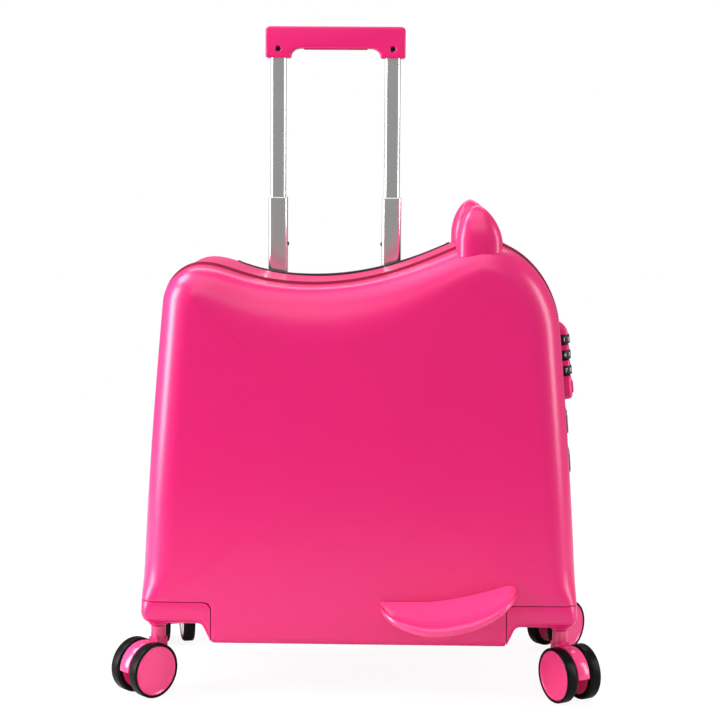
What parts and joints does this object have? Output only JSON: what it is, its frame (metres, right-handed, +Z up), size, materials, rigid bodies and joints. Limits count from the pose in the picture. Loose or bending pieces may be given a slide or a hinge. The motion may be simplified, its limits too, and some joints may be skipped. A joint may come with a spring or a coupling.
{
  "type": "kids ride-on suitcase",
  "caption": "Hard-shell children's suitcase to sit and ride on: saddle top with ears, foot rests, telescopic handle, combination lock and swivelling twin-wheel casters.",
  "frame": {"origin": "on the floor under the centre of the case, handle pulled out, casters as in the picture", "axes": "+Z up, +X towards the eared end with the lock, -Y towards the half that opens"},
  "size_m": [0.4978, 0.2966, 0.6806],
  "materials": {
    "pink_abs": "moulded ABS, satin gloss",
    "pink_nylon": "moulded nylon, soft gloss",
    "zip_fabric": "woven tape",
    "black_plastic": "moulded, satin",
    "tread_rubber": "smooth moulded",
    "aluminium": "brushed, anodised",
    "steel": "plated"
  },
  "bodies": {
    "root": {"centre_band": "pink_abs", "zip_tape": "zip_fabric", "rear_shell": "pink_abs", "housing_rear_left": "pink_abs", "housing_rear_right": "pink_abs", "ear_rear": "pink_abs", "foot_rest_rear": "pink_nylon", "trolley_tray": "black_plastic", "trolley_bracket": "black_plastic", "base_tube_left": "aluminium", "base_tube_right": "aluminium", "lock_body": "pink_abs"},
    "front_door": {"front_shell": "pink_abs", "housing_front_left": "pink_abs", "housing_front_right": "pink_abs", "ear_front": "pink_abs", "foot_rest_front": "pink_nylon"},
    "zip_puller_upper": {"zip_slider_upper": "steel"},
    "zip_puller_lower": {"zip_slider_lower": "steel"},
    "lock_dial_1": {"lock_dial_1": "black_plastic"},
    "lock_dial_2": {"lock_dial_2": "black_plastic"},
    "lock_dial_3": {"lock_dial_3": "black_plastic"},
    "lock_button": {"lock_button": "pink_abs"},
    "stage_1": {"middle_tube_left": "aluminium", "middle_tube_right": "aluminium", "lock_pin_left": "black_plastic", "lock_pin_right": "black_plastic"},
    "stage_2": {"inner_tube_left": "aluminium", "inner_tube_right": "aluminium", "grip_front": "pink_abs", "grip_rear": "pink_abs", "grip_screw_left": "steel", "grip_screw_right": "steel"},
    "release": {"release_bar": "pink_abs", "release_rod_left": "steel", "release_rod_right": "steel"},
    "caster_front_left": {"caster_front_left_fork": "pink_nylon", "caster_front_left_axle": "steel"},
    "wheel_front_left_a": {"caster_front_left_hub_a": "pink_nylon", "caster_front_left_tyre_a": "tread_rubber"},
    "wheel_front_left_b": {"caster_front_left_hub_b": "pink_nylon", "caster_front_left_tyre_b": "tread_rubber"},
    "caster_front_right": {"caster_front_right_fork": "pink_nylon", "caster_front_right_axle": "steel"},
    "wheel_front_right_a": {"caster_front_right_hub_a": "pink_nylon", "caster_front_right_tyre_a": "tread_rubber"},
    "wheel_front_right_b": {"caster_front_right_hub_b": "pink_nylon", "caster_front_right_tyre_b": "tread_rubber"},
    "caster_rear_left": {"caster_rear_left_fork": "pink_nylon", "caster_rear_left_axle": "steel"},
    "wheel_rear_left_a": {"caster_rear_left_hub_a": "pink_nylon", "caster_rear_left_tyre_a": "tread_rubber"},
    "wheel_rear_left_b": {"caster_rear_left_hub_b": "pink_nylon", "caster_rear_left_tyre_b": "tread_rubber"},
    "caster_rear_right": {"caster_rear_right_fork": "pink_nylon", "caster_rear_right_axle": "steel"},
    "wheel_rear_right_a": {"caster_rear_right_hub_a": "pink_nylon", "caster_rear_right_tyre_a": "tread_rubber"},
    "wheel_rear_right_b": {"caster_rear_right_hub_b": "pink_nylon", "caster_rear_right_tyre_b": "tread_rubber"}
  },
  "joints": [
    {"name": "door_hinge", "type": "hinge", "parent": "root", "child": "front_door", "pos_m": [-0.22752, -0.042, 0], "axis": [-0.0662, 0, -0.9978], "range_deg": [0, 170]},
    {"name": "zip_upper_slide", "type": "slide", "parent": "root", "child": "zip_puller_upper", "axis": [-0.0834, 0, 0.9965], "range_m": [0, 0.06]},
    {"name": "zip_lower_slide", "type": "slide", "parent": "root", "child": "zip_puller_lower", "axis": [-0.0756, 0, 0.9971], "range_m": [-0.06, 0]},
    {"name": "trolley_stage_1_slide", "type": "slide", "parent": "root", "child": "stage_1", "axis": [0, 0, 1], "range_m": [-0.1159, 0]},
    {"name": "trolley_stage_2_slide", "type": "slide", "parent": "stage_1", "child": "stage_2", "axis": [0, 0, 1], "range_m": [-0.1475, 0]},
    {"name": "release_press", "type": "slide", "parent": "stage_2", "child": "release", "axis": [0, 0, 1], "range_m": [0, 0.004], "stiffness_N_per_m": 250},
    {"name": "lock_button_press", "type": "slide", "parent": "root", "child": "lock_button", "axis": [0.996, 0, 0.0896], "range_m": [-0.0015, 0], "stiffness_N_per_m": 400},
    {"name": "lock_dial_1_spin", "type": "hinge", "parent": "root", "child": "lock_dial_1", "pos_m": [0.20481, -0.0235, 0.35792], "axis": [-0.0896, 0, 0.996], "continuous": true},
    {"name": "lock_dial_2_spin", "type": "hinge", "parent": "root", "child": "lock_dial_2", "pos_m": [0.20625, -0.0235, 0.34198], "axis": [-0.0896, 0, 0.996], "continuous": true},
    {"name": "lock_dial_3_spin", "type": "hinge", "parent": "root", "child": "lock_dial_3", "pos_m": [0.20768, -0.0235, 0.32605], "axis": [-0.0896, 0, 0.996], "continuous": true},
    {"name": "front_left_swivel", "type": "hinge", "parent": "front_door", "child": "caster_front_left", "pos_m": [-0.204, -0.075, 0], "axis": [0, 0, 1], "continuous": true},
    {"name": "front_left_wheel_a_spin", "type": "hinge", "parent": "caster_front_left", "child": "wheel_front_left_a", "pos_m": [-0.21628, -0.08816, 0.0275], "axis": [0.7314, -0.682, 0], "continuous": true},
    {"name": "front_left_wheel_b_spin", "type": "hinge", "parent": "caster_front_left", "child": "wheel_front_left_b", "pos_m": [-0.21628, -0.08816, 0.0275], "axis": [0.7314, -0.682, 0], "continuous": true},
    {"name": "front_right_swivel", "type": "hinge", "parent": "front_door", "child": "caster_front_right", "pos_m": [0.204, -0.075, 0], "axis": [0, 0, 1], "continuous": true},
    {"name": "front_right_wheel_a_spin", "type": "hinge", "parent": "caster_front_right", "child": "wheel_front_right_a", "pos_m": [0.21259, -0.09082, 0.0275], "axis": [0.8788, 0.4772, 0], "continuous": true},
    {"name": "front_right_wheel_b_spin", "type": "hinge", "parent": "caster_front_right", "child": "wheel_front_right_b", "pos_m": [0.21259, -0.09082, 0.0275], "axis": [0.8788, 0.4772, 0], "continuous": true},
    {"name": "rear_left_swivel", "type": "hinge", "parent": "root", "child": "caster_rear_left", "pos_m": [-0.204, 0.075, 0], "axis": [0, 0, 1], "continuous": true},
    {"name": "rear_left_wheel_a_spin", "type": "hinge", "parent": "caster_rear_left", "child": "wheel_rear_left_a", "pos_m": [-0.20836, 0.09247, 0.0275], "axis": [-0.9703, -0.2419, 0], "continuous": true},
    {"name": "rear_left_wheel_b_spin", "type": "hinge", "parent": "caster_rear_left", "child": "wheel_rear_left_b", "pos_m": [-0.20836, 0.09247, 0.0275], "axis": [-0.9703, -0.2419, 0], "continuous": true},
    {"name": "rear_right_swivel", "type": "hinge", "parent": "root", "child": "caster_rear_right", "pos_m": [0.204, 0.075, 0], "axis": [0, 0, 1], "continuous": true},
    {"name": "rear_right_wheel_a_spin", "type": "hinge", "parent": "caster_rear_right", "child": "wheel_rear_right_a", "pos_m": [0.21628, 0.08816, 0.0275], "axis": [-0.7314, 0.682, 0], "continuous": true},
    {"name": "rear_right_wheel_b_spin", "type": "hinge", "parent": "caster_rear_right", "child": "wheel_rear_right_b", "pos_m": [0.21628, 0.08816, 0.0275], "axis": [-0.7314, 0.682, 0], "continuous": true}
  ]
}
